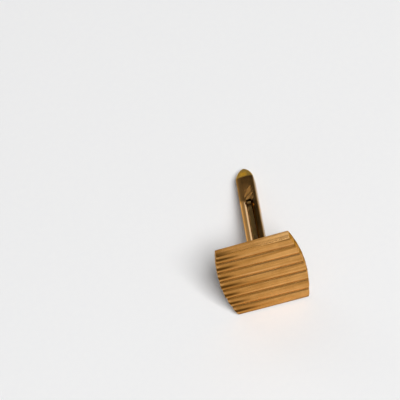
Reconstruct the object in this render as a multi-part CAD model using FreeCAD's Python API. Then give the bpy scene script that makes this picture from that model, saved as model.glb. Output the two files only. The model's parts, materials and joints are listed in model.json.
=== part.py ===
import FreeCAD, Part
import math
import os

# A cufflink with a reeded face and a swivelling slotted toggle, in millimetres.
# Link axes: X along the reeds, Y from the face back to the nose of the toggle, Z up the face.
# The crests of the reeds touch Y = 0 at the middle of the face. The last step lays the link on its side.

# Face
FACE_WIDTH = 16.0       # widest, along the reeds
FACE_HEIGHT = 15.8      # across the reeds
SIDE_BOW = 1.2          # bulge of the two short sides
RIM_DEPTH = 1.8         # from the crests to the rear edge of the rim
RIM_DRAFT = 0.2         # the rim is this much smaller all round at the crests than at its rear edge
RIM_WALL = 0.6
REED_COUNT = 7
REED_RISE = 0.28        # crest above groove
REED_EASE = 0.8         # the crown's radius is this much more than that of a plain arc from groove to groove
REED_SHOULDER = 0.4     # radius where a reed rolls over into its groove
DISH = 0.15             # the ends of the reeds stand this far forward of their middles
FACE_SKIN = 0.45        # metal left under the grooves
EDGE_BREAK = 0.12       # chamfer round the rear edge of the rim

# Back plate and what fixes the post to it
PLATE_THICK = 0.55
PLATE_LEDGE = 0.6       # step inside the rim that the plate seats on
PLATE_FIT = 0.03        # gap all round between plate and rim
TENON_DEPTH = 2.0
TENON_FIT = 0.02
WASHER_WIDTH = 2.6
WASHER_DEPTH = 3.6
WASHER_THICK = 0.28
PEEN_HEIGHT = 0.12      # the tenon stands this far through its washer
COLLAR_WIDTH = 3.6
COLLAR_DEPTH = 5.2
COLLAR_THICK = 0.8
COLLAR_BREAK = 0.3      # chamfer round the top of the collar
COLLAR_SEAT = 0.15      # the collar is let this far into the back plate

# Post
POST_LENGTH = 16.0      # from the back plate to the pivot
POST_THICK = 0.8
POST_ROOT = 3.0         # depth at the collar
CAM_FLAT = 1.1          # pivot to each flat of the squared end
CAM_CORNER = 1.2        # pivot to the rounded corners between the flats

# Toggle
TOGGLE_WIDTH = 3.4
TOGGLE_DEPTH = 2.7
NOSE_REACH = 11.4       # pivot to the tip of the nose
TAIL_REACH = 10.6       # pivot to the open end of the slot
NOSE_LENGTH = 3.0       # from the bar's full width to the tip of the nose
NOSE_BEVEL = 3.0
NOSE_TIP_DEPTH = 1.4
TAIL_BEVEL = 1.0
TAIL_TIP_DEPTH = 2.1
BAR_ROUND = 0.6         # radius along the four long edges
SLOT_FIT = 0.075        # gap on each side of the post

# Rivet, leaf spring and its pin
RIVET_RADIUS = 0.5
RIVET_HEAD_RADIUS = 0.75
RIVET_HEAD_DEPTH = 0.25
RIVET_RUN = 0.03        # radial gap in the post, which turns on the rivet
PRESS_GAP = 0.01        # radial gap where a pin is driven into the toggle
SPRING_WIDTH = 0.7
SPRING_SPAN = 2.1
SPRING_BOW = 0.45
SPRING_THICK = 0.12
SPRING_GAP = 0.03
SPRING_FLEX = 0.1       # room behind the bow before it meets its pin
SPRING_PIN_RADIUS = 0.2

# Places that follow from the sizes
PIVOT_Y = RIM_DEPTH + POST_LENGTH
NOSE_Y = PIVOT_Y + NOSE_REACH
TAIL_Y = PIVOT_Y - TAIL_REACH
PLATE_FRONT_Y = RIM_DEPTH - PLATE_THICK
CAVITY_Y = REED_RISE + FACE_SKIN
SEAT_Y = RIM_DEPTH - COLLAR_SEAT
COLLAR_TOP_Y = RIM_DEPTH + COLLAR_THICK
SLOT_WIDTH = POST_THICK + 2 * SLOT_FIT
SPRING_CREST_Y = PIVOT_Y + CAM_CORNER + SPRING_GAP
OVERRUN = 1.0           # how far cutting shapes run past what they cut

X_AXIS = FreeCAD.Vector(1, 0, 0)
Y_AXIS = FreeCAD.Vector(0, 1, 0)
Z_AXIS = FreeCAD.Vector(0, 0, 1)


def point(x, y, z):
    return FreeCAD.Vector(x, y, z)


def line(start, end):
    return Part.LineSegment(start, end).toShape()


def arc(start, middle, end):
    return Part.Arc(start, middle, end).toShape()


def face_of(edges):
    return Part.Face(Part.Wire(edges))


def block(x_size, z_size, y_start, y_end):
    """A box centred on the link's Y axis."""
    corner = point(-x_size / 2, y_start, -z_size / 2)
    return Part.makeBox(x_size, y_end - y_start, z_size, corner)


def cross_pin(radius, length, y):
    """A cylinder along X, centred at height zero."""
    return Part.makeCylinder(radius, length, point(-length / 2, y, 0), X_AXIS)


def barrel_outline(y, inset):
    """The face's outline moved inwards: two straight long edges and two bowed short sides."""
    bow_radius = ((FACE_HEIGHT / 2) ** 2 + SIDE_BOW ** 2) / (2 * SIDE_BOW)
    side = FACE_WIDTH / 2 - inset
    top = FACE_HEIGHT / 2 - inset
    corner_x = FACE_WIDTH / 2 - bow_radius + math.sqrt((bow_radius - inset) ** 2 - top ** 2)
    upper_left = point(-corner_x, y, top)
    upper_right = point(corner_x, y, top)
    lower_right = point(corner_x, y, -top)
    lower_left = point(-corner_x, y, -top)
    return face_of([
        line(upper_left, upper_right),
        arc(upper_right, point(side, y, 0), lower_right),
        line(lower_right, lower_left),
        arc(lower_left, point(-side, y, 0), upper_left),
    ])


def barrel_prism(y_start, y_end, inset):
    return barrel_outline(y_start, inset).extrude(Y_AXIS * (y_end - y_start))


def rim_stock():
    """The rim as a solid block whose walls widen towards the rear."""
    front_y = -DISH - OVERRUN
    front_inset = RIM_DRAFT * (RIM_DEPTH - front_y) / RIM_DEPTH
    front = barrel_outline(front_y, front_inset).OuterWire
    rear = barrel_outline(RIM_DEPTH, 0).OuterWire
    return Part.makeLoft([front, rear], True, True)


def reed_section(middle_z, half_pitch):
    """A reed in section: a crown arc that rolls over at each side into a groove."""
    crown = (half_pitch ** 2 + REED_RISE ** 2) / (2 * REED_RISE) + REED_EASE
    inner = crown - REED_SHOULDER
    reach = math.hypot(half_pitch, crown - REED_RISE)
    opening = math.acos((inner ** 2 + reach ** 2 - REED_SHOULDER ** 2) / (2 * inner * reach))
    crown_turn = math.atan2(half_pitch, crown - REED_RISE) - opening
    centre_z = inner * math.sin(crown_turn)
    centre_y = crown - inner * math.cos(crown_turn)
    groove_turn = math.atan2(half_pitch - centre_z, centre_y - REED_RISE)

    def on_shoulder(side, turn):
        z = centre_z + REED_SHOULDER * math.sin(turn)
        return point(0, centre_y - REED_SHOULDER * math.cos(turn), middle_z + side * z)

    turns = (groove_turn, (groove_turn + crown_turn) / 2, crown_turn)
    low = [on_shoulder(-1, turn) for turn in turns]
    high = [on_shoulder(1, turn) for turn in reversed(turns)]
    return [arc(*low), arc(low[2], point(0, 0, middle_z), high[0]), arc(*high)]


def reeded_stock():
    """Everything behind the reeded front, turned about an upright axis so that the reeds are dished."""
    radius = ((FACE_WIDTH / 2) ** 2 + DISH ** 2) / (2 * DISH)
    half_turn = math.degrees(math.asin((FACE_WIDTH / 2 + OVERRUN) / radius))
    end_z = FACE_HEIGHT / 2
    back_y = RIM_DEPTH + 2 * OVERRUN
    pitch = FACE_HEIGHT / REED_COUNT
    edges = []
    for reed in range(REED_COUNT):
        edges += reed_section((reed + 0.5) * pitch - end_z, pitch / 2)
    edges += [
        line(point(0, REED_RISE, end_z), point(0, back_y, end_z)),
        line(point(0, back_y, end_z), point(0, back_y, -end_z)),
        line(point(0, back_y, -end_z), point(0, REED_RISE, -end_z)),
    ]
    centre = point(0, -radius, 0)
    profile = face_of(edges)
    profile.rotate(centre, Z_AXIS, -half_turn)
    return profile.revolve(centre, Z_AXIS, 2 * half_turn)


def rear_rim_edges(shell):
    """The outer edges of the rim's rear face."""
    outline = barrel_outline(RIM_DEPTH, 0)
    return [edge for edge in shell.Edges
            if any(edge.CenterOfMass.distanceToPoint(other.CenterOfMass) < EDGE_BREAK / 10
                   for other in outline.Edges)]


def face_shell():
    shell = rim_stock().common(reeded_stock())
    shell = shell.makeChamfer(EDGE_BREAK, rear_rim_edges(shell))
    shell = shell.cut(barrel_prism(CAVITY_Y, RIM_DEPTH + OVERRUN, RIM_WALL + PLATE_LEDGE))
    return shell.cut(barrel_prism(PLATE_FRONT_Y, RIM_DEPTH + OVERRUN, RIM_WALL))


def tenon(fit, y_start, y_end):
    return block(POST_THICK + 2 * fit, TENON_DEPTH + 2 * fit, y_start, y_end)


def collar_stock(gap, y_end):
    """The collar's outline, from its seat in the back plate upwards."""
    stock = block(COLLAR_WIDTH + 2 * gap, COLLAR_DEPTH + 2 * gap, SEAT_Y, y_end)
    upright = [edge for edge in stock.Edges if abs(edge.tangentAt(edge.FirstParameter).y) > 0.5]
    return stock.makeFillet(COLLAR_WIDTH / 2 - COLLAR_BREAK + gap, upright)


def back_plate():
    plate = barrel_prism(PLATE_FRONT_Y, RIM_DEPTH, RIM_WALL + PLATE_FIT)
    plate = plate.cut(collar_stock(TENON_FIT, RIM_DEPTH + OVERRUN))
    return plate.cut(tenon(TENON_FIT, PLATE_FRONT_Y - OVERRUN, RIM_DEPTH + OVERRUN))


def tenon_washer():
    """The washer inside the face that the post's tenon is peened over."""
    front = PLATE_FRONT_Y - WASHER_THICK
    washer = block(WASHER_WIDTH, WASHER_DEPTH, front, PLATE_FRONT_Y)
    return washer.cut(tenon(TENON_FIT, front - OVERRUN, PLATE_FRONT_Y + OVERRUN))


def post_side_view():
    """The post from the side: tapered shank, then a squared cam end with rounded corners."""
    root = POST_ROOT / 2
    flat_half = math.sqrt(CAM_CORNER ** 2 - CAM_FLAT ** 2)
    diagonal = CAM_CORNER / math.sqrt(2)
    end_y = PIVOT_Y + CAM_FLAT
    corner_y = PIVOT_Y + flat_half
    round_y = PIVOT_Y + diagonal
    outline = [
        line(point(0, SEAT_Y, -root), point(0, COLLAR_TOP_Y, -root)),
        line(point(0, COLLAR_TOP_Y, -root), point(0, TAIL_Y, -CAM_FLAT)),
        line(point(0, TAIL_Y, -CAM_FLAT), point(0, corner_y, -CAM_FLAT)),
        arc(point(0, corner_y, -CAM_FLAT), point(0, round_y, -diagonal), point(0, end_y, -flat_half)),
        line(point(0, end_y, -flat_half), point(0, end_y, flat_half)),
        arc(point(0, end_y, flat_half), point(0, round_y, diagonal), point(0, corner_y, CAM_FLAT)),
        line(point(0, corner_y, CAM_FLAT), point(0, TAIL_Y, CAM_FLAT)),
        line(point(0, TAIL_Y, CAM_FLAT), point(0, COLLAR_TOP_Y, root)),
        line(point(0, COLLAR_TOP_Y, root), point(0, SEAT_Y, root)),
        line(point(0, SEAT_Y, root), point(0, SEAT_Y, -root)),
    ]
    return face_of(outline)


def post():
    shank = post_side_view()
    shank.translate(X_AXIS * (-POST_THICK / 2))
    shank = shank.extrude(X_AXIS * POST_THICK)
    peened_end = PLATE_FRONT_Y - WASHER_THICK - PEEN_HEIGHT
    shank = shank.fuse(tenon(0, peened_end, SEAT_Y)).removeSplitter()
    return shank.cut(cross_pin(RIVET_RADIUS + RIVET_RUN, TOGGLE_WIDTH, PIVOT_Y))


def post_collar():
    """The foot that stiffens the joint between post and back plate."""
    collar = collar_stock(0, COLLAR_TOP_Y)
    rim = [edge for edge in collar.Edges if abs(edge.BoundBox.YMin - COLLAR_TOP_Y) < COLLAR_BREAK / 10]
    collar = collar.makeChamfer(COLLAR_BREAK, rim)
    hole_width = POST_THICK + 2 * TENON_FIT
    hole_depth = POST_ROOT + 2 * TENON_FIT
    return collar.cut(block(hole_width, hole_depth, SEAT_Y - OVERRUN, COLLAR_TOP_Y + OVERRUN))


def spring_radius():
    return ((SPRING_SPAN / 2) ** 2 + SPRING_BOW ** 2) / (2 * SPRING_BOW)


def slot_end():
    """Where the slot's round end lies, so that the ends of the leaf spring just bear on it."""
    radius = spring_radius()
    half_angle = math.asin(SPRING_SPAN / 2 / radius)
    spring_back = SPRING_CREST_Y + radius - (radius - SPRING_THICK) * math.cos(half_angle)
    slot_radius = SLOT_WIDTH / 2
    round_off = slot_radius - math.sqrt(slot_radius ** 2 - (SPRING_WIDTH / 2) ** 2)
    return spring_back + SPRING_GAP + round_off


def nose_curve(half_width, shoulder_y):
    """The nose seen from above: half an oval from one side of the bar to the other."""
    corners = [point(-half_width, shoulder_y, 0), point(-half_width, NOSE_Y, 0), point(0, NOSE_Y, 0),
               point(half_width, NOSE_Y, 0), point(half_width, shoulder_y, 0)]
    quarter = 1 / math.sqrt(2)
    curve = Part.BSplineCurve()
    curve.buildFromPolesMultsKnots(corners, [3, 2, 3], [0, 1, 2], False, 2, [1, quarter, 1, quarter, 1])
    return curve.toShape()


def toggle_stock():
    """The bar as the meeting of three profiles: rounded section, bullet plan and bevelled side view."""
    half_width = TOGGLE_WIDTH / 2
    half_depth = TOGGLE_DEPTH / 2
    section = block(TOGGLE_WIDTH, TOGGLE_DEPTH, TAIL_Y, NOSE_Y)
    long_edges = [edge for edge in section.Edges if abs(edge.tangentAt(edge.FirstParameter).y) > 0.5]
    section = section.makeFillet(BAR_ROUND, long_edges)

    shoulder_y = NOSE_Y - NOSE_LENGTH
    plan = face_of([
        line(point(-half_width, TAIL_Y, 0), point(-half_width, shoulder_y, 0)),
        nose_curve(half_width, shoulder_y),
        line(point(half_width, shoulder_y, 0), point(half_width, TAIL_Y, 0)),
        line(point(half_width, TAIL_Y, 0), point(-half_width, TAIL_Y, 0)),
    ])
    plan.translate(Z_AXIS * -TOGGLE_DEPTH)
    plan = plan.extrude(Z_AXIS * 2 * TOGGLE_DEPTH)

    tip = NOSE_TIP_DEPTH / 2
    tail = TAIL_TIP_DEPTH / 2
    bevel_y = NOSE_Y - NOSE_BEVEL
    tail_bevel_y = TAIL_Y + TAIL_BEVEL
    corners = [
        point(0, TAIL_Y, -tail), point(0, tail_bevel_y, -half_depth), point(0, bevel_y, -half_depth),
        point(0, NOSE_Y, -tip), point(0, NOSE_Y, tip), point(0, bevel_y, half_depth),
        point(0, tail_bevel_y, half_depth), point(0, TAIL_Y, tail), point(0, TAIL_Y, -tail),
    ]
    side = Part.Face(Part.makePolygon(corners))
    side.translate(X_AXIS * -TOGGLE_WIDTH)
    side = side.extrude(X_AXIS * 2 * TOGGLE_WIDTH)
    return section.common(plan).common(side)


def slot():
    """The slot that straddles the post: open at the tail, round at its far end."""
    radius = SLOT_WIDTH / 2
    round_y = slot_end() - radius
    run = Part.makeBox(SLOT_WIDTH, round_y - TAIL_Y + OVERRUN, 2 * TOGGLE_DEPTH,
                       point(-radius, TAIL_Y - OVERRUN, -TOGGLE_DEPTH))
    end = Part.makeCylinder(radius, 2 * TOGGLE_DEPTH, point(0, round_y, -TOGGLE_DEPTH), Z_AXIS)
    return run.fuse(end)


def rivet_shape(gap):
    """A shank with a countersunk head at each end, flush with the sides of the toggle."""
    shank = cross_pin(RIVET_RADIUS + gap, TOGGLE_WIDTH, PIVOT_Y)
    half_width = TOGGLE_WIDTH / 2
    for side in (-1, 1):
        head = Part.makeCone(RIVET_HEAD_RADIUS + gap, RIVET_RADIUS + gap, RIVET_HEAD_DEPTH,
                             point(side * half_width, PIVOT_Y, 0), X_AXIS * -side)
        shank = shank.fuse(head)
    return shank.removeSplitter()


def spring_pin(gap=0.0):
    y = SPRING_CREST_Y + SPRING_THICK + SPRING_FLEX + SPRING_PIN_RADIUS
    return cross_pin(SPRING_PIN_RADIUS + gap, TOGGLE_WIDTH, y)


def toggle_bar():
    bar = toggle_stock().cut(slot())
    bar = bar.cut(rivet_shape(PRESS_GAP))
    return bar.cut(spring_pin(PRESS_GAP))


def detent_spring():
    """A bowed leaf across the end of the slot, which the corners of the cam push back."""
    outer = spring_radius()
    inner = outer - SPRING_THICK
    half_angle = math.asin(SPRING_SPAN / 2 / outer)
    centre_y = SPRING_CREST_Y + outer

    def on_bow(radius, angle):
        return point(-SPRING_WIDTH / 2, centre_y - radius * math.cos(angle), radius * math.sin(angle))

    leaf = face_of([
        arc(on_bow(outer, -half_angle), on_bow(outer, 0), on_bow(outer, half_angle)),
        line(on_bow(outer, half_angle), on_bow(inner, half_angle)),
        arc(on_bow(inner, half_angle), on_bow(inner, 0), on_bow(inner, -half_angle)),
        line(on_bow(inner, -half_angle), on_bow(outer, -half_angle)),
    ])
    return leaf.extrude(X_AXIS * SPRING_WIDTH)


def lay_angle():
    """The slope of the link when the rim's lower rear edge and the nose both touch the table."""
    draft = math.atan2(RIM_DRAFT, RIM_DEPTH)
    rim_z = EDGE_BREAK * math.sin(draft) - FACE_HEIGHT / 2
    rim_y = RIM_DEPTH - EDGE_BREAK * math.cos(draft)
    bevel = math.atan2(-TOGGLE_DEPTH / 2 - rim_z, NOSE_Y - NOSE_BEVEL - rim_y)
    tip = math.atan2(-NOSE_TIP_DEPTH / 2 - rim_z, NOSE_Y - rim_y)
    return math.degrees(min(bevel, tip))


def lay_down(pieces):
    """Tip every piece together onto the table and put the origin under the middle of the link."""
    for shape in pieces.values():
        shape.rotate(point(0, 0, 0), X_AXIS, -lay_angle())
    box = Part.makeCompound(list(pieces.values())).optimalBoundingBox(False)
    move = point(-box.Center.x, -box.Center.y, -box.ZMin)
    for shape in pieces.values():
        shape.translate(move)
    return move


pieces = {
    "face_shell": face_shell(),
    "back_plate": back_plate(),
    "tenon_washer": tenon_washer(),
    "post_collar": post_collar(),
    "post": post(),
    "toggle_bar": toggle_bar(),
    "pivot_rivet": rivet_shape(0.0),
    "detent_spring": detent_spring(),
    "spring_pin": spring_pin(),
}
origin_shift = lay_down(pieces)

os.makedirs("parts", exist_ok=True)
for name, shape in pieces.items():
    shape.exportStep("parts/" + name + ".step")
    print(name, "valid", shape.isValid(), "solids", len(shape.Solids), "volume", round(shape.Volume, 3))
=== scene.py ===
import json
import math

import bmesh
import bpy
from mathutils import Matrix, Vector


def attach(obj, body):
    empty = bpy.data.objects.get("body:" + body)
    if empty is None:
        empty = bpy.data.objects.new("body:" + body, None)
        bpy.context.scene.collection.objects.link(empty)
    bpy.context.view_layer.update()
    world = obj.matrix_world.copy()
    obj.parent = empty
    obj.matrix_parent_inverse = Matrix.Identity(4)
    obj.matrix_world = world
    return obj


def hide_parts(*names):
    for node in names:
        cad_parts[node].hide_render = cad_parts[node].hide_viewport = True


# A gold-tone cufflink with a reeded face and a swivelling slotted toggle.
# Sizes are in millimetres, in link axes: X along the reeds, Y from the face back to the nose, Z up the face.

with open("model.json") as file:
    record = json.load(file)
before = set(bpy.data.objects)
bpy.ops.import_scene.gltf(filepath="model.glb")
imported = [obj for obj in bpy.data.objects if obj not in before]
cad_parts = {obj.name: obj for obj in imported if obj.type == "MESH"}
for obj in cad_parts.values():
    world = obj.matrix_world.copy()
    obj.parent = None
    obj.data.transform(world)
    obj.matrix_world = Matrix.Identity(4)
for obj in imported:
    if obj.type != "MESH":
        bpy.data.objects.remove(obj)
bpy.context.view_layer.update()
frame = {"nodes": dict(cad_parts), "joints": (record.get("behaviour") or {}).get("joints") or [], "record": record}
MM = 0.001

# Face
FACE_WIDTH = 16.0
FACE_HEIGHT = 15.8
SIDE_BOW = 1.2          # how far each side bulges
RIM_DEPTH = 1.8
TOP_DRAFT = 0.2         # how far the rim leans in at the top edge
SIDE_DRAFT = 0.08       # and at the sides
RIM_WALL = 0.6
REED_COUNT = 7
REED_RISE = 0.28        # depth of the grooves
REED_EASE = 0.8         # makes the crowns flatter, to leave room for the shoulders
REED_SHOULDER = 0.8     # radius between a crown and its groove
REED_TILT = 0.03        # the reeds run this much askew, rising to the left
ROW_STEP = 0.07         # distance between the rows of the face's mesh
COLUMN_STEPS = 26       # columns of that mesh on each side of the middle
CAVITY_Y = 0.73
TOP_ROUND = 0.1         # radius where the reeds meet the long edges of the rim
SIDE_ROUND = 0.22       # radius where the ends of the reeds roll over into the rim
CORNER_ROUND = 0.1      # radius of the four upright corners
CORNER_STEPS = 6
FLUTE = 0.1             # the ends of the grooves run this far into the sides of the rim
REAR_FLUTE = FLUTE / 3
REAR_ROUND = 0.12       # radius round the rear edge of the rim
LIP_BREAK = 0.06        # edge break round the mouth of the rim
EASE = 0.02             # the rim keeps this far inside the solid's outline

# Back plate and collar
PLATE_FRONT_Y = 1.25
PLATE_LEDGE = 0.6
PLATE_FIT = 0.03        # gap between plate and rim
PLATE_EDGE = 0.09       # radius round the plate's rear edge
SEAT_Y = 1.65
COLLAR_TOP_Y = 2.6
COLLAR_WIDTH = 3.6
COLLAR_DEPTH = 5.2
COLLAR_CORNER = 1.5
COLLAR_BREAK = 0.3

# Post
PIVOT_Y = 17.8
POST_THICK = 0.8
POST_ROOT = 3.0
CAM_FLAT = 1.1
CAM_CORNER = 1.2
CAM_STEPS = 8
POST_EDGE = 0.1         # the post's long edges are rounded by this much

# Toggle
TOGGLE_WIDTH = 3.4
TOGGLE_DEPTH = 2.7
NOSE_Y = 29.2
TAIL_Y = 7.2
NOSE_LENGTH = 3.0
NOSE_FULLNESS = 1.4     # 2 makes the nose half an oval, less makes it slimmer
NOSE_BEVEL = 3.0
NOSE_TIP_DEPTH = 1.4
TAIL_BEVEL = 1.0
TAIL_TIP_DEPTH = 2.1
BAR_ROUND = 0.24
SLIM_ROUND = 0.4        # towards the tip the edge radius is this share of the half width
BAR_CROWN = 0.2         # the top and bottom of the bar fall this much from the middle to the sides
SLOT_WIDTH = 0.95
SLOT_CHAMFER = 0.4      # depth of the chamfer along the slot
CHAMFER_SPREAD = 1.08   # its width for each unit of depth
SLOT_END_Y = 19.74
SLOT_OVERRUN = 1.0      # the slot's cutter runs this far past the tail
SLOT_STEPS = 16
SLOT_EDGE = 0.07        # edges left by the cutter are rounded by this much

# Sections of the bar: close to the tail, beside its bevel, a millimetre apart, and round the nose
TAIL_SECTION = 0.06
BEVEL_SECTION = 0.15
BAR_SECTIONS = 17
NOSE_SECTION = 0.1
NOSE_TURNS = (2, 8, 16, 24, 32, 40, 48, 55, 62, 68, 74, 79, 83, 86, 88.5, 89.6)
FLAT_STEPS = 8

# Rivet and pin, polished almost flush
RIVET_RADIUS = 0.5
RIVET_HEAD_RADIUS = 0.75
RIVET_PROUD = 0.03
SPRING_PIN_RADIUS = 0.2
SPRING_PIN_Y = 19.45
SPRING_PIN_PROUD = 0.02
DOME = ((1.0, 0.0), (0.9, 0.5), (0.6, 0.85), (0.0, 0.97))   # shares of the rise and of the head's radius
HEAD_EDGE = 0.02        # the head is widest this far inside the bar
HEAD_DEPTH = 0.3        # and has narrowed to the pin this far inside it
PIN_STEPS = 48

# Mesh work
WELD_GAP = 1e-4
BEVEL_SEGMENTS = 3
BEVEL_ANGLE = 35        # only edges sharper than this are rounded
QUARTERS = ((1, 1), (-1, 1), (-1, -1), (1, -1))
QUARTER_STEPS = 8

# The link's axes as the frame lays it on the table
pivot = Vector(frame["joints"][0]["pos_m"])
rearward = next(Vector(m["axis"]) for m in frame["record"]["mounts"] if m["name"] == "cuff_face")
along = Vector((1, 0, 0))
upward = along.cross(rearward)
LINK = Matrix((along, rearward, upward)).transposed().to_4x4()
LINK.translation = pivot - rearward * PIVOT_Y * MM


# Meshes

def add_loops(mesh, loops, closed=False):
    """Quads between neighbouring loops that have the same number of points."""
    rings = [[mesh.verts.new(Vector(p) * MM) for p in loop] for loop in loops]
    pairs = list(zip(rings, rings[1:]))
    if closed:
        pairs.append((rings[-1], rings[0]))
    for low, high in pairs:
        for i in range(len(low)):
            j = (i + 1) % len(low)
            mesh.faces.new((low[i], low[j], high[j], high[i]))
    return rings


def weld(mesh):
    bmesh.ops.remove_doubles(mesh, verts=mesh.verts, dist=WELD_GAP * MM)
    bmesh.ops.recalc_face_normals(mesh, faces=mesh.faces)


def as_data(name, mesh):
    data = bpy.data.meshes.new(name)
    mesh.to_mesh(data)
    mesh.free()
    return data


def flat_normals(data):
    """Normals that follow the largest faces, so that flat faces look flat beside small roundings."""
    sums = [Vector() for vertex in data.vertices]
    for face in data.polygons:
        for corner in face.vertices:
            sums[corner] += face.normal * (face.area / MM ** 2)
    data.shade_smooth()
    data.normals_split_custom_set_from_vertices([s.normalized() for s in sums])


def piece(name, data, node, material):
    """A finished mesh, laid down from link axes and put in place of a node of the frame."""
    flat_normals(data)
    data.transform(LINK)
    data.materials.append(material)
    made = bpy.data.objects.new(name, data)
    bpy.context.scene.collection.objects.link(made)
    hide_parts(node)
    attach(made, next(b for b, nodes in frame["record"]["behaviour"]["bodies"].items() if node in nodes))


def applied(data, kind, settings):
    """The mesh after one modifier."""
    stock = bpy.data.objects.new(data.name, data)
    bpy.context.scene.collection.objects.link(stock)
    change = stock.modifiers.new("change", kind)
    for key, value in settings.items():
        setattr(change, key, value)
    ready = stock.evaluated_get(bpy.context.evaluated_depsgraph_get())
    result = bpy.data.meshes.new_from_object(ready)
    bpy.data.objects.remove(stock)
    return result


def carved(data, cutter):
    """The mesh with the cutter's mesh taken away."""
    tool = bpy.data.objects.new("cutter", cutter)
    bpy.context.scene.collection.objects.link(tool)
    result = applied(data, "BOOLEAN", {"operation": "DIFFERENCE", "solver": "EXACT", "object": tool})
    bpy.data.objects.remove(tool)
    return result


def bevelled(data, width):
    """The mesh with its sharp edges rounded."""
    return applied(data, "BEVEL", {"width": width * MM, "segments": BEVEL_SEGMENTS, "limit_method": "ANGLE",
                                   "angle_limit": math.radians(BEVEL_ANGLE)})


# Face shell

BOW_RADIUS = ((FACE_HEIGHT / 2) ** 2 + SIDE_BOW ** 2) / (2 * SIDE_BOW)
BOW_CENTRE = FACE_WIDTH / 2 - BOW_RADIUS
PITCH = FACE_HEIGHT / REED_COUNT
REED_CROWN = ((PITCH / 2) ** 2 + REED_RISE ** 2) / (2 * REED_RISE) + REED_EASE


def reed_shape():
    """Where a reed's crown ends and its shoulder is centred, both from the middle of the reed."""
    inner = REED_CROWN - REED_SHOULDER
    reach = math.hypot(PITCH / 2, REED_CROWN - REED_RISE)
    opening = math.acos((inner ** 2 + reach ** 2 - REED_SHOULDER ** 2) / (2 * inner * reach))
    turn = math.atan2(PITCH / 2, REED_CROWN - REED_RISE) - opening
    return REED_CROWN * math.sin(turn), inner * math.sin(turn), REED_CROWN - inner * math.cos(turn)


CROWN_END, SHOULDER_Z, SHOULDER_Y = reed_shape()


def across_reeds(x, z):
    """Height measured across the reeds, from the lower edge of the face."""
    return z + REED_TILT * x + FACE_HEIGHT / 2


def reed_depth(x, z):
    """How far behind the crests the front lies."""
    off = abs(across_reeds(x, z) % PITCH - PITCH / 2)
    if off < CROWN_END:
        return REED_CROWN - math.sqrt(REED_CROWN ** 2 - off ** 2)
    return SHOULDER_Y - math.sqrt(REED_SHOULDER ** 2 - (off - SHOULDER_Z) ** 2)


def even_rows(lowest, highest):
    """Heights up the face, close together for the sake of the grooves."""
    count = round((highest - lowest) / ROW_STEP)
    return [lowest + (highest - lowest) * s / count for s in range(count + 1)]


def half_outline(side_inset, edge_inset, rows, columns):
    """The upper half of the barrel outline moved inwards: place, outward direction and share of a side."""
    top = FACE_HEIGHT / 2 - edge_inset
    radius = BOW_RADIUS - side_inset
    scale = top / rows[-1]
    corner_x = BOW_CENTRE + math.sqrt(radius ** 2 - top ** 2)
    lean = math.asin(top / radius)
    side = []
    for row in rows:
        turn = math.asin(min(1.0, row * scale / radius))
        side.append((BOW_CENTRE + radius * math.cos(turn), row * scale, math.cos(turn), math.sin(turn), 1.0))
    for s in range(1, CORNER_STEPS):
        turn = lean + (math.pi / 2 - lean) * s / CORNER_STEPS
        side.append((corner_x, top, math.cos(turn), math.sin(turn), 1 - s / CORNER_STEPS))
    edge = [(corner_x * c, top, 0.0, 1.0, 0.0) for c in reversed(columns)]
    return side + edge + [(-x, z, -nx, nz, share) for x, z, nx, nz, share in reversed(side)]


def perimeter(side_inset, top_inset, bottom_inset, rows, columns):
    """The whole outline moved inwards, by different amounts at the sides and at the long edges."""
    upper = half_outline(side_inset, top_inset, [z for z in rows if z >= 0], columns)
    lower = half_outline(side_inset, bottom_inset, [-z for z in reversed(rows) if z <= 0], columns)
    return upper + [(x, -z, nx, -nz, share) for x, z, nx, nz, share in reversed(lower)]


def grown(points, growth, y):
    """A loop at one depth that lies outside the given points."""
    return [(x + nx * growth, y, z + nz * growth) for x, z, nx, nz, share in points]


def front_round(share):
    """Radius round the front edge, from the long edges to the sides."""
    return TOP_ROUND + (SIDE_ROUND - TOP_ROUND) * share


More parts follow.
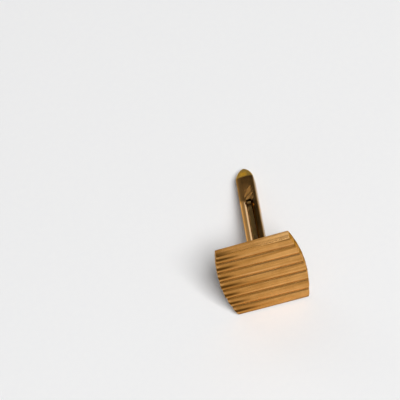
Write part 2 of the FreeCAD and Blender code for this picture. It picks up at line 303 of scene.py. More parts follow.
def face_shell_mesh():
    mesh = bmesh.new()
    side_inset = EASE + SIDE_DRAFT + SIDE_ROUND + CORNER_ROUND
    top_inset = EASE + TOP_DRAFT + TOP_ROUND + CORNER_ROUND
    bottom_inset = EASE + TOP_ROUND + CORNER_ROUND
    rows = even_rows(bottom_inset - FACE_HEIGHT / 2, FACE_HEIGHT / 2 - top_inset)
    columns = [math.sin(math.radians(s * 90 / COLUMN_STEPS)) for s in range(-COLUMN_STEPS, COLUMN_STEPS + 1)]
    radius = BOW_RADIUS - side_inset
    grid = []
    for z in rows:
        side_x = BOW_CENTRE + math.sqrt(radius ** 2 - z ** 2)
        row = [Vector((c * side_x, reed_depth(c * side_x, z), z)) for c in columns]
        grid.append([mesh.verts.new(point * MM) for point in row])
    for low, high in zip(grid, grid[1:]):
        for i in range(len(columns) - 1):
            mesh.faces.new((low[i], low[i + 1], high[i + 1], high[i]))

    core = perimeter(side_inset, top_inset, bottom_inset, rows, columns)
    depths = [reed_depth(x, z) for x, z, nx, nz, share in core]

    def rim_loop(side, top, bottom, flute, y):
        """A loop round the rim, let in by different amounts at the sides and at the long edges."""
        insets = [EASE + inset + CORNER_ROUND for inset in (side, top, bottom)]
        loop = []
        for (x, z, nx, nz, share), depth in zip(perimeter(*insets, rows, columns), depths):
            x += nx * (CORNER_ROUND - flute * share * depth / REED_RISE)
            loop.append((x, y(depth, share), z + nz * CORNER_ROUND))
        return loop

    loops = [[(x, depth, z) for (x, z, nx, nz, share), depth in zip(core, depths)]]
    for degrees in range(0, 91, 15):
        out = math.sin(math.radians(degrees))
        back = 1 - math.cos(math.radians(degrees))
        side_left = SIDE_ROUND * (1 - out)
        top_left = TOP_ROUND * (1 - out)
        loops.append(rim_loop(SIDE_DRAFT + side_left, TOP_DRAFT + top_left, top_left, FLUTE * out,
                              lambda depth, share: depth + back * front_round(share)))
    for degrees in range(0, 91, 30):
        inset = REAR_ROUND * (1 - math.cos(math.radians(degrees)))
        rear_y = RIM_DEPTH - REAR_ROUND * (1 - math.sin(math.radians(degrees)))
        loops.append(rim_loop(inset, inset, inset, REAR_FLUTE, lambda depth, share: rear_y))
    lip = perimeter(RIM_WALL, RIM_WALL, RIM_WALL, rows, columns)
    step = RIM_WALL + PLATE_LEDGE
    ledge = perimeter(step, step, step, rows, columns)
    loops += [grown(lip, LIP_BREAK, RIM_DEPTH), grown(lip, 0, RIM_DEPTH - LIP_BREAK)]
    loops += [grown(lip, 0, PLATE_FRONT_Y), grown(ledge, 0, PLATE_FRONT_Y), grown(ledge, 0, CAVITY_Y)]
    rings = add_loops(mesh, loops)
    mesh.faces.new(rings[-1])
    weld(mesh)
    mark_painted_shade_and_highlights(mesh)
    return mesh


# Painted shade and painted highlights on the face: marks across a reed, each given by its place and its width
# The place is -1 in the groove below the reed, 0 on its crest and 1 in the groove above
# Painted shade: a brown wedge on each reed and a thinner one along each groove, running in from the left end
BROWN_WEDGE = (-0.05, 0.3)
THIN_WEDGE = (1.0, 0.16)
# Painted shade at the right ends of the grooves
RIGHT_END_MARK = (1.0, 0.2)
# Painted shade: dark lines at each groove
DARK_BELOW_GROOVE = (0.92, 0.2)
DARK_ABOVE_GROOVE = (-1.0, 0.1)
# Painted highlights on the lower half of each reed and on its left tip
RIDGE_HIGHLIGHT = (-0.5, 0.24)
TIP_HIGHLIGHTS = ((-0.55, 0.16), (0.5, 0.16))

# How far the marks reach from the ends of the reeds, and how strong each of them is
WEDGE_REACH = 4.6
THIN_REACH = 2.6
THIN_STRENGTH = 0.6
RIGHT_END_REACH = 1.0
RIGHT_END_STRENGTH = 0.4
RIGHT_END_TOP = FACE_HEIGHT / 2 - PITCH / 3     # no marks at the right ends above this
UNEVEN = 0.25           # the wedges are longer and shorter by up to this share
UNEVEN_STEP = 2.4       # turn from one reed to the next, in radians
UNEVEN_START = 0.7
HIGHLIGHT_FADE_REACH = 6.0        # the painted highlights on the reeds are weaker towards the left end
HIGHLIGHT_FADE_STRENGTH = 0.6
TIP_REACH = 0.8
TIP_STRENGTH = 1.8
FADE_POWER = 1.5

# Painted shade and painted highlights along the edges
# Painted shade along the lower edge
LOW_EDGE_WIDTH = 0.3
LOW_EDGE_STRENGTH = 0.5
TOP_EDGE = FACE_HEIGHT / 2 - EASE - TOP_DRAFT - 0.9 * TOP_ROUND     # the front ends here
# Painted shade: a dark line just under the top edge, towards the right
TOP_LINE = (TOP_EDGE - 0.3, 0.15)
TOP_LINE_STRENGTH = 0.5
# Painted highlight along the top edge, towards the right
TOP_RIDGE = (TOP_EDGE, 0.1)
TOP_RIDGE_STRENGTH = 2.2
# Painted highlight on the top wall towards the right, and painted shade on it towards the left
TOP_WALL_HIGHLIGHT = 1.2
TOP_WALL_SHADE = 0.65
TOP_WALL_REACH = 3.5
SIDE_STRIP = 0.3        # width of the strip along each side that counts as its wall
# Painted shade on the right side wall
SIDE_SHADE = 0.5


def hump(value, middle, width):
    """1 at the middle, falling softly to nothing about two widths away."""
    return math.exp(-((value - middle) / width) ** 2)


def fading(distance, reach):
    """1 at no distance, falling to nothing at the reach."""
    return max(0.0, 1 - (distance / reach) ** FADE_POWER)


def mark_painted_shade_and_highlights(mesh):
    """Stores where the face gets painted shade along the grooves, painted highlights on the reeds and painted
    shade at the ends.
    """
    groove_shades = mesh.verts.layers.float.new("groove_shade")
    painted_highlights = mesh.verts.layers.float.new("painted_highlight")
    painted_shades = mesh.verts.layers.float.new("painted_shade")
    for vertex in mesh.verts:
        x, y, z = vertex.co / MM
        half_width = BOW_CENTRE + math.sqrt(BOW_RADIUS ** 2 - z ** 2)
        from_left = half_width + x
        from_right = half_width - x
        rightward = max(0.0, x / half_width)
        behind = y > REED_RISE + SIDE_ROUND
        # On the top wall: painted highlight towards the right, painted shade towards the left
        if z > TOP_EDGE:
            vertex[painted_highlights] = TOP_WALL_HIGHLIGHT * rightward
            if not behind:
                vertex[painted_shades] = TOP_WALL_SHADE * fading(from_left, TOP_WALL_REACH)
            continue
        if behind and from_left > SIDE_STRIP:
            # Painted shade on the right side wall; the left side wall takes the marks of the reeds
            if from_right < SIDE_STRIP:
                vertex[painted_shades] = SIDE_SHADE
            continue
        height = across_reeds(x, z)
        reed = math.floor(height / PITCH)
        place = height / (PITCH / 2) - 2 * reed - 1
        uneven = 1 + UNEVEN * math.sin(UNEVEN_STEP * reed + UNEVEN_START)
        low_edge = hump(z, -FACE_HEIGHT / 2, LOW_EDGE_WIDTH)
        # Painted shade: wedges from the left end, the lower edge, a line under the top edge and the right ends
        marks = [fading(from_left, WEDGE_REACH * uneven) * hump(place, *BROWN_WEDGE),
                 fading(from_left, THIN_REACH * uneven) * hump(abs(place), *THIN_WEDGE) * THIN_STRENGTH,
                 low_edge * LOW_EDGE_STRENGTH,
                 rightward * hump(z, *TOP_LINE) * TOP_LINE_STRENGTH]
        # Painted shade at the right ends of the grooves, below the top reed
        if z < RIGHT_END_TOP:
            right_end = fading(from_right, RIGHT_END_REACH) * hump(abs(place), *RIGHT_END_MARK)
            marks.append(right_end * RIGHT_END_STRENGTH)
        vertex[painted_shades] = max(marks)
        # Painted shade at each groove
        vertex[groove_shades] = max(hump(place, *DARK_BELOW_GROOVE), hump(place, *DARK_ABOVE_GROOVE))
        # Painted highlights on the reeds, at their left tips and along the top edge
        dull = HIGHLIGHT_FADE_STRENGTH * fading(from_left, HIGHLIGHT_FADE_REACH)
        painted_highlight = (1 - low_edge) * (1 - dull) * hump(place, *RIDGE_HIGHLIGHT)
        top = rightward * hump(z, *TOP_RIDGE)
        tip = fading(from_left, TIP_REACH) * max(hump(place, *mark) for mark in TIP_HIGHLIGHTS)
        vertex[painted_highlights] = painted_highlight + TOP_RIDGE_STRENGTH * top + TIP_STRENGTH * tip


# Back plate

def back_plate_mesh():
    mesh = bmesh.new()
    inset = RIM_WALL + PLATE_FIT + PLATE_EDGE
    rows = even_rows(inset - FACE_HEIGHT / 2, FACE_HEIGHT / 2 - inset)
    columns = [-1.0, 0.0, 1.0]
    outline = perimeter(inset, inset, inset, rows, columns)
    loops = [grown(outline, PLATE_EDGE, PLATE_FRONT_Y)]
    for degrees in range(0, 91, 30):
        turn = math.radians(degrees)
        y = RIM_DEPTH - PLATE_EDGE * (1 - math.sin(turn))
        loops.append(grown(outline, PLATE_EDGE * math.cos(turn), y))
    rings = add_loops(mesh, loops)
    mesh.faces.new(rings[0])
    mesh.faces.new(rings[-1])
    weld(mesh)
    return mesh


# Post and collar

def rounded_corner(quarter, half_x, half_z, corner):
    """Points (x, z) round one corner of a rectangle, the first of which lies at +X and +Z."""
    side_x, side_z = QUARTERS[quarter]
    middle_x = side_x * (half_x - corner)
    middle_z = side_z * (half_z - corner)
    turns = [math.radians(90 * (quarter + s / QUARTER_STEPS)) for s in range(QUARTER_STEPS + 1)]
    return [(middle_x + corner * math.cos(turn), middle_z + corner * math.sin(turn)) for turn in turns]


def rounded_loop(half_x, half_z, corner, y):
    """A rectangle with rounded corners, with the same number of points whatever the corner."""
    return [(x, y, z) for quarter in range(4) for x, z in rounded_corner(quarter, half_x, half_z, corner)]


def collar_mesh():
    mesh = bmesh.new()
    half_x = COLLAR_WIDTH / 2
    half_z = COLLAR_DEPTH / 2
    loops = [rounded_loop(half_x, half_z, COLLAR_CORNER, SEAT_Y)]
    for degrees in (0, 22, 45, 67, 90):
        turn = math.radians(degrees)
        cut = COLLAR_BREAK * (1 - math.cos(turn))
        y = COLLAR_TOP_Y - COLLAR_BREAK * (1 - math.sin(turn))
        loops.append(rounded_loop(half_x - cut, half_z - cut, COLLAR_CORNER - cut, y))
    for y in (COLLAR_TOP_Y, SEAT_Y):
        loops.append(rounded_loop(POST_THICK / 2, POST_ROOT / 2, 0, y))
    add_loops(mesh, loops, closed=True)
    weld(mesh)
    return mesh


def slab(outline, half_x):
    """A side view, as points (y, z), made into a slab across X."""
    mesh = bmesh.new()
    left = [mesh.verts.new(Vector((-half_x, y, z)) * MM) for y, z in outline]
    right = [mesh.verts.new(Vector((half_x, y, z)) * MM) for y, z in outline]
    mesh.faces.new(left)
    mesh.faces.new(right)
    for i in range(len(outline)):
        j = (i + 1) % len(outline)
        mesh.faces.new((left[i], left[j], right[j], right[i]))
    bmesh.ops.recalc_face_normals(mesh, faces=mesh.faces)
    return mesh


def post_mesh():
    root = POST_ROOT / 2
    flat_half = math.sqrt(CAM_CORNER ** 2 - CAM_FLAT ** 2)
    first = math.asin(flat_half / CAM_CORNER)
    turns = [first + (math.pi / 2 - 2 * first) * s / CAM_STEPS for s in range(CAM_STEPS + 1)]
    corner = [(PIVOT_Y + CAM_CORNER * math.sin(turn), CAM_CORNER * math.cos(turn)) for turn in turns]
    upper = [(SEAT_Y, root), (COLLAR_TOP_Y, root), (TAIL_Y, CAM_FLAT)] + corner
    lower = [(y, -z) for y, z in reversed(upper)]
    return slab(upper + lower, POST_THICK / 2)


# Toggle, rivet and pin

def toggle_half_depth(y):
    """The bar's side view: flat in the middle, bevelled at the nose and at the tail."""
    full = TOGGLE_DEPTH / 2
    if y > NOSE_Y - NOSE_BEVEL:
        return full - (full - NOSE_TIP_DEPTH / 2) * (y - NOSE_Y + NOSE_BEVEL) / NOSE_BEVEL
    if y < TAIL_Y + TAIL_BEVEL:
        return full - (full - TAIL_TIP_DEPTH / 2) * (TAIL_Y + TAIL_BEVEL - y) / TAIL_BEVEL
    return full


def toggle_half_width(y):
    """The bar seen from above: straight, then a bullet nose."""
    past = max(0.0, y - NOSE_Y + NOSE_LENGTH) / NOSE_LENGTH
    return TOGGLE_WIDTH / 2 * math.sqrt(max(0.0, 1 - past ** NOSE_FULLNESS))


def bar_section(y):
    """A rounded section of the bar with a slight crown on its top and bottom."""
    half_x = toggle_half_width(y)
    half_z = toggle_half_depth(y)
    corner = min(BAR_ROUND, SLIM_ROUND * half_x)
    flat = [(half_x - corner) * (1 - 2 * s / FLAT_STEPS) for s in range(1, FLAT_STEPS)]
    loop = []
    for quarter, (side_x, side_z) in enumerate(QUARTERS):
        loop += rounded_corner(quarter, half_x, half_z, corner)
        if side_x == side_z:
            loop += [(side_x * x, side_z * half_z) for x in flat]
    fall = BAR_CROWN / (TOGGLE_WIDTH / 2) ** 2
    return [(x, y, z * (1 - fall * x ** 2 / (TOGGLE_DEPTH / 2))) for x, z in loop]


def bar_stations():
    """Where along the bar its sections stand."""
    bevel_y = TAIL_Y + TAIL_BEVEL
    nose_start_y = NOSE_Y - NOSE_LENGTH
    stations = [TAIL_Y, TAIL_Y + TAIL_SECTION, bevel_y - BEVEL_SECTION, bevel_y + BEVEL_SECTION]
    stations += [bevel_y + s for s in range(1, BAR_SECTIONS + 1)]
    stations.append(nose_start_y - NOSE_SECTION)
    return stations + [nose_start_y + NOSE_LENGTH * math.sin(math.radians(turn)) for turn in NOSE_TURNS]


def slot_mesh():
    """The cutter for the slot, with its round end and its chamfers."""
    radius = SLOT_WIDTH / 2
    round_y = SLOT_END_Y - radius
    straight = TOGGLE_DEPTH / 2 - SLOT_CHAMFER
    turns = [math.pi * s / SLOT_STEPS for s in range(SLOT_STEPS + 1)]
    loops = []
    for z in (-TOGGLE_DEPTH, -straight, straight, TOGGLE_DEPTH):
        wide = radius + CHAMFER_SPREAD * (abs(z) - straight)
        plan = [(wide * math.cos(turn), round_y + radius * math.sin(turn)) for turn in turns]
        plan += [(-wide, TAIL_Y - SLOT_OVERRUN), (wide, TAIL_Y - SLOT_OVERRUN)]
        loops.append([(x, y, z) for x, y in plan])
    mesh = bmesh.new()
    rings = add_loops(mesh, loops)
    for end in (rings[0], rings[-1]):
        mesh.faces.new(end)
    bmesh.ops.recalc_face_normals(mesh, faces=mesh.faces)
    return mesh


def toggle_data():
    mesh = bmesh.new()
    rings = add_loops(mesh, [bar_section(y) for y in bar_stations()])
    mesh.faces.new(rings[0])
    mesh.faces.new(rings[-1])
    weld(mesh)
    return bevelled(carved(as_data("bar", mesh), as_data("slot", slot_mesh())), SLOT_EDGE)


def pin_mesh(radius, head, proud, y):
    """A pin along X whose ends are domed and almost flush with the bar."""
    half = TOGGLE_WIDTH / 2
    end = [(half + rise * proud, share * head) for rise, share in DOME]
    end += [(half - HEAD_EDGE, head), (half - HEAD_DEPTH, radius)]
    profile = [(-x, r) for x, r in end] + [(x, r) for x, r in reversed(end)]
    turns = [2 * math.pi * s / PIN_STEPS for s in range(PIN_STEPS)]
    loops = [[(x, y + r * math.cos(turn), r * math.sin(turn)) for turn in turns] for x, r in profile]
    mesh = bmesh.new()
    add_loops(mesh, loops)
    weld(mesh)
    return mesh


# Shader nodes

def add(tree, kind, settings=None, at=None, **inputs):
    """A node with its settings, and its inputs given by name or by place as values or as sockets."""
    made = tree.nodes.new(kind)
    for key, value in (settings or {}).items():
        setattr(made, key, value)
    wanted = [(made.inputs[key.replace("_", " ")], value) for key, value in inputs.items()]
    wanted += [(made.inputs[place], value) for place, value in (at or {}).items()]
    for socket, value in wanted:
        if isinstance(value, bpy.types.NodeSocket):
            tree.links.new(value, socket)
        else:
            socket.default_value = value
    return made


def new_material(name):
    made = bpy.data.materials.new(name)
    made.use_nodes = True
    tree = made.node_tree
    return made, tree, tree.nodes["Principled BSDF"]


def link_place(tree, stretch=(1, 1, 1)):
    """The point in link axes, in millimetres, with each axis stretched."""
    place = add(tree, "ShaderNodeTexCoord").outputs["Object"]
    return add(tree, "ShaderNodeMapping", {"vector_type": "TEXTURE"}, Vector=place,
               Location=LINK.translation, Rotation=LINK.to_euler(),
               Scale=[MM / s for s in stretch]).outputs["Vector"]


def link_axes(tree):
    """The point's X, Y and Z in link axes, in millimetres."""
    return add(tree, "ShaderNodeSeparateXYZ", Vector=link_place(tree)).outputs


def grain(tree, stretch, scale, detail):
    """Noise drawn out along the polishing direction."""
    return add(tree, "ShaderNodeTexNoise", Vector=link_place(tree, stretch), Scale=scale, Detail=detail,
               Roughness=0.6).outputs["Fac"]


def spread(tree, fac, low, high, start=0.3, end=0.7):
    """Low up to the start, high from the end; the start and end fit the range of a noise."""
    return add(tree, "ShaderNodeMapRange", at={0: fac, 1: start, 2: end, 3: low, 4: high}).outputs["Result"]


def ramp(tree, value, nothing, full):
    """0 at one value and 1 at another, and even beyond both."""
    return spread(tree, value, 0.0, 1.0, nothing, full)


def inside(tree, value, low, high, soft):
    """1 between two values, fading softly outside them."""
    return product(tree, ramp(tree, value, low - soft, low), ramp(tree, value, high + soft, high))


def blend_colours(tree, fac, first, second):
    """The first colour where the factor is 0, the second where it is 1."""
    return add(tree, "ShaderNodeMix", {"data_type": "RGBA"}, at={0: fac, 6: first, 7: second}).outputs[2]


def tinted(tree, colour, tint, where, amount=1.0):
    """The colour with a tint laid over it, as strongly as a mask and an amount say."""
    return blend_colours(tree, product(tree, where, amount), colour, tint)


def combined(tree, operation, values):
    """The values put together one after another by one operation."""
    result = values[0]
    for value in values[1:]:
        result = add(tree, "ShaderNodeMath", {"operation": operation}, at={0: result, 1: value}).outputs[0]
    return result


def product(tree, *factors):
    """The factors multiplied together."""
    return combined(tree, "MULTIPLY", factors)


def total(tree, *terms):
    """The terms added together."""
    return combined(tree, "ADD", terms)


# Materials

EDGE_TINT = (0.86, 0.62, 0.34, 1)       # reflection at a glancing angle
RELIEF_DEPTH = 0.02
FACE_GOLD = (0.80, 0.415, 0.13, 1)
# The deep colour serves for random tone and for painted shade towards the left end
FACE_DEEP_TONE_AND_SHADE = (0.42, 0.185, 0.038, 1)
BAR_GOLD = (0.78, 0.42, 0.14, 1)
BAR_DEEP = (0.62, 0.30, 0.08, 1)
PLATE_GOLD = (0.74, 0.43, 0.17, 1)
PLATE_DEEP = (0.60, 0.32, 0.11, 1)
SHANK_GOLD = (0.70, 0.40, 0.15, 1)
SHANK_DEEP = (0.20, 0.13, 0.035, 1)
WASHER_BRASS = (0.62, 0.44, 0.18, 1)
WASHER_DEEP = (0.42, 0.27, 0.1, 1)
SPRING_BRONZE = (0.10, 0.058, 0.02, 1)
SPRING_DEEP = (0.07, 0.04, 0.014, 1)

# Colours of painted shade and painted highlights; at the pivot, grime and painted shade together
HIGHLIGHT_GOLD = (1.0, 0.62, 0.27, 1)
GROOVE_SHADE_BROWN = (0.36, 0.16, 0.04, 1)
SHADE_BROWN = (0.085, 0.035, 0.006, 1)
SLOT_SHADE = (0.10, 0.06, 0.02, 1)
SLOT_EDGE_HIGHLIGHT = (1.0, 0.66, 0.35, 1)
GREY_SIDE_SHADE = (0.10, 0.082, 0.055, 1)
SHOULDER_SHADE_BROWN = (0.24, 0.13, 0.045, 1)
PRONG_SHADE_BROWN = (0.2, 0.1, 0.03, 1)
TIP_SHADE_OLIVE = (0.46, 0.32, 0.09, 1)
NOSE_HIGHLIGHT_YELLOW = (0.85, 0.47, 0.06, 1)
PIVOT_GRIME_AND_SHADE = (0.06, 0.035, 0.015, 1)

# How the noise of the polish is drawn out along each axis
ALONG_REEDS = (0.03, 1.0, 1.0)
ALONG_BAR = (1.0, 0.06, 1.0)
ALONG_SHANK = (1.0, 0.5, 1.0)
ALONG_SPRING = (1.0, 1.0, 0.1)
EVEN = (1.0, 1.0, 1.0)
PATCHES = (0.1, 1.0, 1.0)
HAIR_FINENESS = 5       # hairs are this much finer than lines, across the polish
SCRATCH_WAYS = ((0.85, -0.53), (0.06, 0.1))     # by X and Y, across the slanting scratches and along them

# How strong some effects are
GLOSS_SWING = 0.25      # the roughness swings by this share along the polishing lines
RAGGEDNESS = 0.35       # how far the polishing lines break up the edges of the painted shade
SHADE_DULLNESS = 0.15   # the painted shade is rougher by this much
GRIME_AND_SHADE_DULLNESS = 0.3


def gold(name, bright, deep, stretch, rough, scratch, wear_and_painted_light=None):
    """Gold plate: polishing lines along one way, cloudy colour, uneven gloss and marks of its own kind, among them
    painted shade, painted highlights, scratches and grime.
    """
    made, tree, shader = new_material(name)
    lines = grain(tree, stretch, scale=1.7, detail=5.0)
    hair_stretch = [s * (HAIR_FINENESS if s > 0.5 else 1) for s in stretch]
    hairs = grain(tree, hair_stretch, scale=3.0, detail=2.0)
    clouds = grain(tree, EVEN, scale=0.45, detail=3.0)
    colour = blend_colours(tree, spread(tree, clouds, low=0.0, high=0.5), bright, deep)
    colour = blend_colours(tree, spread(tree, lines, low=0.0, high=0.8, start=0.38, end=0.62), colour, deep)
    dull = 0.0
    if wear_and_painted_light:
        colour, dull = wear_and_painted_light(tree, colour, lines)
    line_gloss = spread(tree, lines, low=rough * (1 - GLOSS_SWING), high=rough * (1 + GLOSS_SWING))
    cloud_gloss = spread(tree, clouds, low=-0.03, high=0.04)
    relief = add(tree, "ShaderNodeBump", Strength=scratch, Distance=RELIEF_DEPTH * MM,
                 Height=total(tree, lines, hairs))
    tree.links.new(colour, shader.inputs["Base Color"])
    tree.links.new(total(tree, line_gloss, cloud_gloss, dull), shader.inputs["Roughness"])
    tree.links.new(relief.outputs["Normal"], shader.inputs["Normal"])
    shader.inputs["Metallic"].default_value = 1.0
    shader.inputs["Specular Tint"].default_value = EDGE_TINT
    return made


def face_painted_shade_and_highlights(tree, colour, lines):
    """Painted shade to the left, painted highlights on the reeds, painted shade at the grooves and brown painted
    shade at the ends of the reeds.
    """
    # Painted shade: the face grows darker towards its left end
    leftward = ramp(tree, link_axes(tree)["X"], nothing=2.0, full=-8.0)
    colour = tinted(tree, colour, FACE_DEEP_TONE_AND_SHADE, leftward, amount=0.8)
    groove_shade, painted_highlight, painted_shade = [add(tree, "ShaderNodeAttribute", {"attribute_name": name}).outputs["Fac"]
                          for name in ("groove_shade", "painted_highlight", "painted_shade")]
    patches = grain(tree, PATCHES, scale=0.8, detail=2.0)
    # Painted highlights on the reeds
    colour = tinted(tree, colour, HIGHLIGHT_GOLD, painted_highlight, amount=spread(tree, patches, low=0.42, high=0.08))
    # Painted shade at the grooves
    colour = tinted(tree, colour, GROOVE_SHADE_BROWN, groove_shade, amount=spread(tree, patches, low=0.0, high=0.1))
    # Painted shade, its edges broken up by the polishing lines
    ragged = total(tree, painted_shade, product(tree, lines, RAGGEDNESS))
    painted_shade_mask = spread(tree, ragged, low=0.0, high=0.95, start=0.25, end=0.9)
    return tinted(tree, colour, SHADE_BROWN, painted_shade_mask), product(tree, painted_shade_mask, SHADE_DULLNESS)


def slanting_scratches(tree, x, y):
    """Noise drawn out slantwise over the top of the bar."""
    across, lengthwise = [total(tree, product(tree, x, by_x), product(tree, y, by_y))
                          for by_x, by_y in SCRATCH_WAYS]
    slant = add(tree, "ShaderNodeCombineXYZ", X=across, Y=lengthwise).outputs["Vector"]
    return add(tree, "ShaderNodeTexNoise", Vector=slant, Scale=2.4, Detail=3.0).outputs["Fac"]


def bar_shade_highlights_and_scratches(tree, colour, lines):
    """Painted shade in the slot with a painted highlight on its edge, painted shade on one side, brown painted
    shade on the shoulder and prong, olive painted shade at the tip, a yellow painted highlight on the nose, and
    slanting scratches.
    """
    x, y, z = link_axes(tree)
    # Painted shade in the slot and on the right prong's inner edge
    slot = product(tree, inside(tree, x, low=-0.46, high=0.9, soft=0.1),
                   inside(tree, y, low=TAIL_Y, high=SLOT_END_Y + 0.03, soft=0.1))
    colour = tinted(tree, colour, SLOT_SHADE, slot, amount=0.85)
    # Painted highlight along the slot's left edge
    edge = product(tree, inside(tree, x, low=-0.95, high=-0.5, soft=0.05),
                   inside(tree, y, low=TAIL_Y, high=SLOT_END_Y - 0.6, soft=0.5))
    colour = tinted(tree, colour, SLOT_EDGE_HIGHLIGHT, edge)
    # Painted shade on the bar's right side
    side = product(tree, ramp(tree, x, nothing=1.42, full=1.6), spread(tree, lines, low=0.85, high=1.0))
    colour = tinted(tree, colour, GREY_SIDE_SHADE, side, amount=0.95)
    # Painted shade on the left shoulder of the block before the nose
    shoulder = product(tree, inside(tree, y, low=SLOT_END_Y + 0.3, high=NOSE_Y - NOSE_BEVEL, soft=0.5),
                       ramp(tree, x, nothing=-0.4, full=-1.1), ramp(tree, z, nothing=0.6, full=1.1))
    colour = tinted(tree, colour, SHOULDER_SHADE_BROWN, shoulder, amount=0.85)
    # Painted shade on the right prong near the slot's end
    prong = product(tree, inside(tree, x, low=0.5, high=1.6, soft=0.2),
                    ramp(tree, y, nothing=SLOT_END_Y, full=SLOT_END_Y - 1))
    colour = tinted(tree, colour, PRONG_SHADE_BROWN, prong, amount=0.6)
    # Painted shade towards the tip of the nose
    tip = ramp(tree, y, nothing=NOSE_Y - NOSE_BEVEL, full=NOSE_Y - 2.6)
    colour = tinted(tree, colour, TIP_SHADE_OLIVE, tip, amount=0.8)
    # Painted highlight in the middle of the nose's bevel
    nose = product(tree, inside(tree, x, low=-0.5, high=0.2, soft=0.6),
                   inside(tree, y, low=NOSE_Y - 2.3, high=NOSE_Y - 1.5, soft=0.6))
    colour = tinted(tree, colour, NOSE_HIGHLIGHT_YELLOW, nose)
    scratches = spread(tree, slanting_scratches(tree, x, y), low=0.05, high=0.34, start=0.42, end=0.62)
    dull = product(tree, inside(tree, y, low=SLOT_END_Y + 0.3, high=SLOT_END_Y + 3.0, soft=1.5),
                   inside(tree, x, low=-0.2, high=0.6, soft=0.6), scratches)
    return colour, dull


def grimed_and_shaded(tree, colour, lines, where):
    """Dirt and painted shade at the pivot, a little uneven along the polishing lines."""
    grime_and_shade = product(tree, where, spread(tree, lines, low=0.85, high=1.0))
    return tinted(tree, colour, PIVOT_GRIME_AND_SHADE, grime_and_shade), product(tree, grime_and_shade, GRIME_AND_SHADE_DULLNESS)


def shank_grime_and_shade(tree, colour, lines):
    """Dirt and painted shade round the squared end that the toggle turns on."""
    y = link_axes(tree)["Y"]
    squared_end = spread(tree, y, low=0.0, high=0.95, start=PIVOT_Y - 0.6, end=PIVOT_Y + 0.4)
    return grimed_and_shaded(tree, colour, lines, squared_end)


def pin_grime_and_shade(tree, colour, lines):
    """Dirt and painted shade where a pin crosses the slot."""
    x = link_axes(tree)["X"]
    crossing = inside(tree, x, low=-SLOT_WIDTH / 2, high=SLOT_WIDTH / 2, soft=0.1)
    return grimed_and_shaded(tree, colour, lines, crossing)


face_gold = gold("face_gold", FACE_GOLD, FACE_DEEP_TONE_AND_SHADE, ALONG_REEDS, rough=0.27, scratch=0.2, wear_and_painted_light=face_painted_shade_and_highlights)
bar_gold = gold("bar_gold", BAR_GOLD, BAR_DEEP, ALONG_BAR, rough=0.14, scratch=0.15, wear_and_painted_light=bar_shade_highlights_and_scratches)
collar_gold = gold("collar_gold", BAR_GOLD, BAR_DEEP, EVEN, rough=0.16, scratch=0.1)
plate_gold = gold("plate_gold", PLATE_GOLD, PLATE_DEEP, ALONG_REEDS, rough=0.2, scratch=0.15)
pin_gold = gold("pin_gold", PLATE_GOLD, PLATE_DEEP, EVEN, rough=0.16, scratch=0.1, wear_and_painted_light=pin_grime_and_shade)
shank_gold = gold("shank_gold", SHANK_GOLD, SHANK_DEEP, ALONG_SHANK, rough=0.2, scratch=0.3, wear_and_painted_light=shank_grime_and_shade)
washer_brass = gold("washer_brass", WASHER_BRASS, WASHER_DEEP, EVEN, rough=0.4, scratch=0.3)
spring_bronze = gold("spring_bronze", SPRING_BRONZE, SPRING_DEEP, ALONG_SPRING, rough=0.4, scratch=0.2)

# Pieces

rivet_mesh = pin_mesh(RIVET_RADIUS, RIVET_HEAD_RADIUS, RIVET_PROUD, PIVOT_Y)
leaf_pin_mesh = pin_mesh(SPRING_PIN_RADIUS, SPRING_PIN_RADIUS, SPRING_PIN_PROUD, SPRING_PIN_Y)
piece("reeded_face", as_data("reeded_face", face_shell_mesh()), "face_shell", face_gold)
piece("plate", as_data("plate", back_plate_mesh()), "back_plate", plate_gold)
piece("collar", as_data("collar", collar_mesh()), "post_collar", collar_gold)
piece("shank", bevelled(as_data("shank", post_mesh()), POST_EDGE), "post", shank_gold)
piece("slotted_bar", toggle_data(), "toggle_bar", bar_gold)
piece("rivet", as_data("rivet", rivet_mesh), "pivot_rivet", pin_gold)
piece("leaf_pin", as_data("leaf_pin", leaf_pin_mesh), "spring_pin", pin_gold)

for node, material in (("tenon_washer", washer_brass), ("detent_spring", spring_bronze)):
    slots = frame["nodes"][node].data.materials
    slots.clear()
    slots.append(material)

# Floor, in metres

FLOOR_COLOUR = (0.88, 0.88, 0.88, 1)
FLOOR_FIBRES = (0.87, 0.87, 0.875, 1)
FLOOR_HALF = 2.0


def pale_card():
    material, tree, shader = new_material("pale_card")
    place = add(tree, "ShaderNodeTexCoord").outputs["Object"]
    fibres = add(tree, "ShaderNodeTexNoise", Vector=place, Scale=900.0, Detail=4.0).outputs["Fac"]
    tone = blend_colours(tree, spread(tree, fibres, low=0.0, high=1.0), FLOOR_COLOUR, FLOOR_FIBRES)
    tree.links.new(tone, shader.inputs["Base Color"])
    shader.inputs["Roughness"].default_value = 0.8
    shader.inputs["Specular IOR Level"].default_value = 0.2
    return material


floor_mesh = bpy.data.meshes.new("floor")
floor_mesh.from_pydata([(x * FLOOR_HALF, y * FLOOR_HALF, 0) for x, y in QUARTERS], [], [(0, 1, 2, 3)])
floor_mesh.materials.append(pale_card())
floor = bpy.data.objects.new("floor", floor_mesh)
bpy.context.scene.collection.objects.link(floor)

# Light: one large soft lamp from the front right, and a dim sky with brighter fields that the metal reflects

LAMP_PLACE = Vector((0.877, -1.480, 2.457))     # in metres; the lamp looks at the middle of the floor
LAMP_SIZE = 1.3
LAMP_POWER = 96.0
SKY_LEVEL = 0.035
FRONT = ("Y", 0.1, -0.3)
BACK = ("Y", 0.4, 0.6)

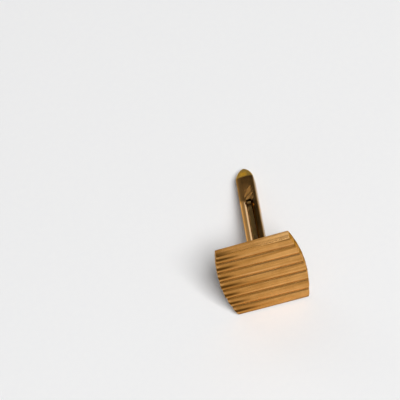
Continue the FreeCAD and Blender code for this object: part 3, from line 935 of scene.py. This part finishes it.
# A field is a strength and its limits: an axis of the direction, where it is nothing and where it is full
SKY_FIELDS = {
    "low in front": (0.55, FRONT, ("Z", 0.4, 0.2)),
    "high in front": (0.15, FRONT, ("Z", 0.3, 0.44), ("Z", 0.86, 0.76),
                      ("X", -0.35, -0.2), ("X", 0.15, 0.0)),
    "high at the back": (1.0, BACK, ("Z", 0.5, 0.58), ("Z", 0.8, 0.72),
                         ("X", -0.5, -0.35), ("X", 0.4, 0.25)),
    "left at the back": (0.9, BACK, ("X", -0.2, -0.45), ("X", -0.75, -0.6), ("Z", 0.6, 0.5)),
    "right at the back": (0.35, ("Y", 0.1, 0.3), ("X", 0.3, 0.45), ("Z", 0.7, 0.5)),
    "along the horizon": (0.4, ("Y", 0.5, 0.8), ("Z", 0.2, 0.06)),
}


def studio_sky():
    world = bpy.data.worlds.new("studio")
    world.use_nodes = True
    bpy.context.scene.world = world
    tree = world.node_tree
    way = add(tree, "ShaderNodeTexCoord").outputs["Generated"]
    axes = add(tree, "ShaderNodeSeparateXYZ", Vector=way).outputs
    fields = []
    for strength, *limits in SKY_FIELDS.values():
        ramps = [ramp(tree, axes[axis], nothing, full) for axis, nothing, full in limits]
        fields.append(product(tree, strength, *ramps))
    tree.links.new(total(tree, SKY_LEVEL, *fields), tree.nodes["Background"].inputs["Color"])
    tree.nodes["Background"].inputs["Strength"].default_value = 1.0


def soft_lamp():
    data = bpy.data.lights.new("key", "AREA")
    data.shape = "SQUARE"
    data.size = LAMP_SIZE
    data.energy = LAMP_POWER
    lamp = bpy.data.objects.new("key", data)
    bpy.context.scene.collection.objects.link(lamp)
    lamp.location = LAMP_PLACE
    lamp.rotation_euler = (-LAMP_PLACE).to_track_quat("-Z", "Y").to_euler()


studio_sky()
soft_lamp()
bpy.context.scene.view_settings.view_transform = "Standard"

# Camera: the photograph's view of the link, given in link axes

CAMERA_RIGHT = Vector((0.95848, -0.10364, -0.26562))
CAMERA_UP = Vector((0.26591, 0.66102, 0.70166))
CAMERA_BACK = Vector((0.1028, -0.7432, 0.6611))
CAMERA_DISTANCE = 360.0
LEFT_OF_LINK = 11.392   # the link stands right of the picture's middle, and below it
ABOVE_LINK = 13.889
LENS = 180
SENSOR = 36

camera_data = bpy.data.cameras.new("camera")
camera_data.lens = LENS
camera_data.sensor_width = SENSOR
camera = bpy.data.objects.new("camera", camera_data)
bpy.context.scene.collection.objects.link(camera)
spot = CAMERA_DISTANCE * CAMERA_BACK + ABOVE_LINK * CAMERA_UP - LEFT_OF_LINK * CAMERA_RIGHT
seen = Matrix((CAMERA_RIGHT, CAMERA_UP, CAMERA_BACK)).transposed().to_4x4()
seen.translation = spot * MM
camera.matrix_world = LINK @ seen
bpy.context.scene.camera = camera
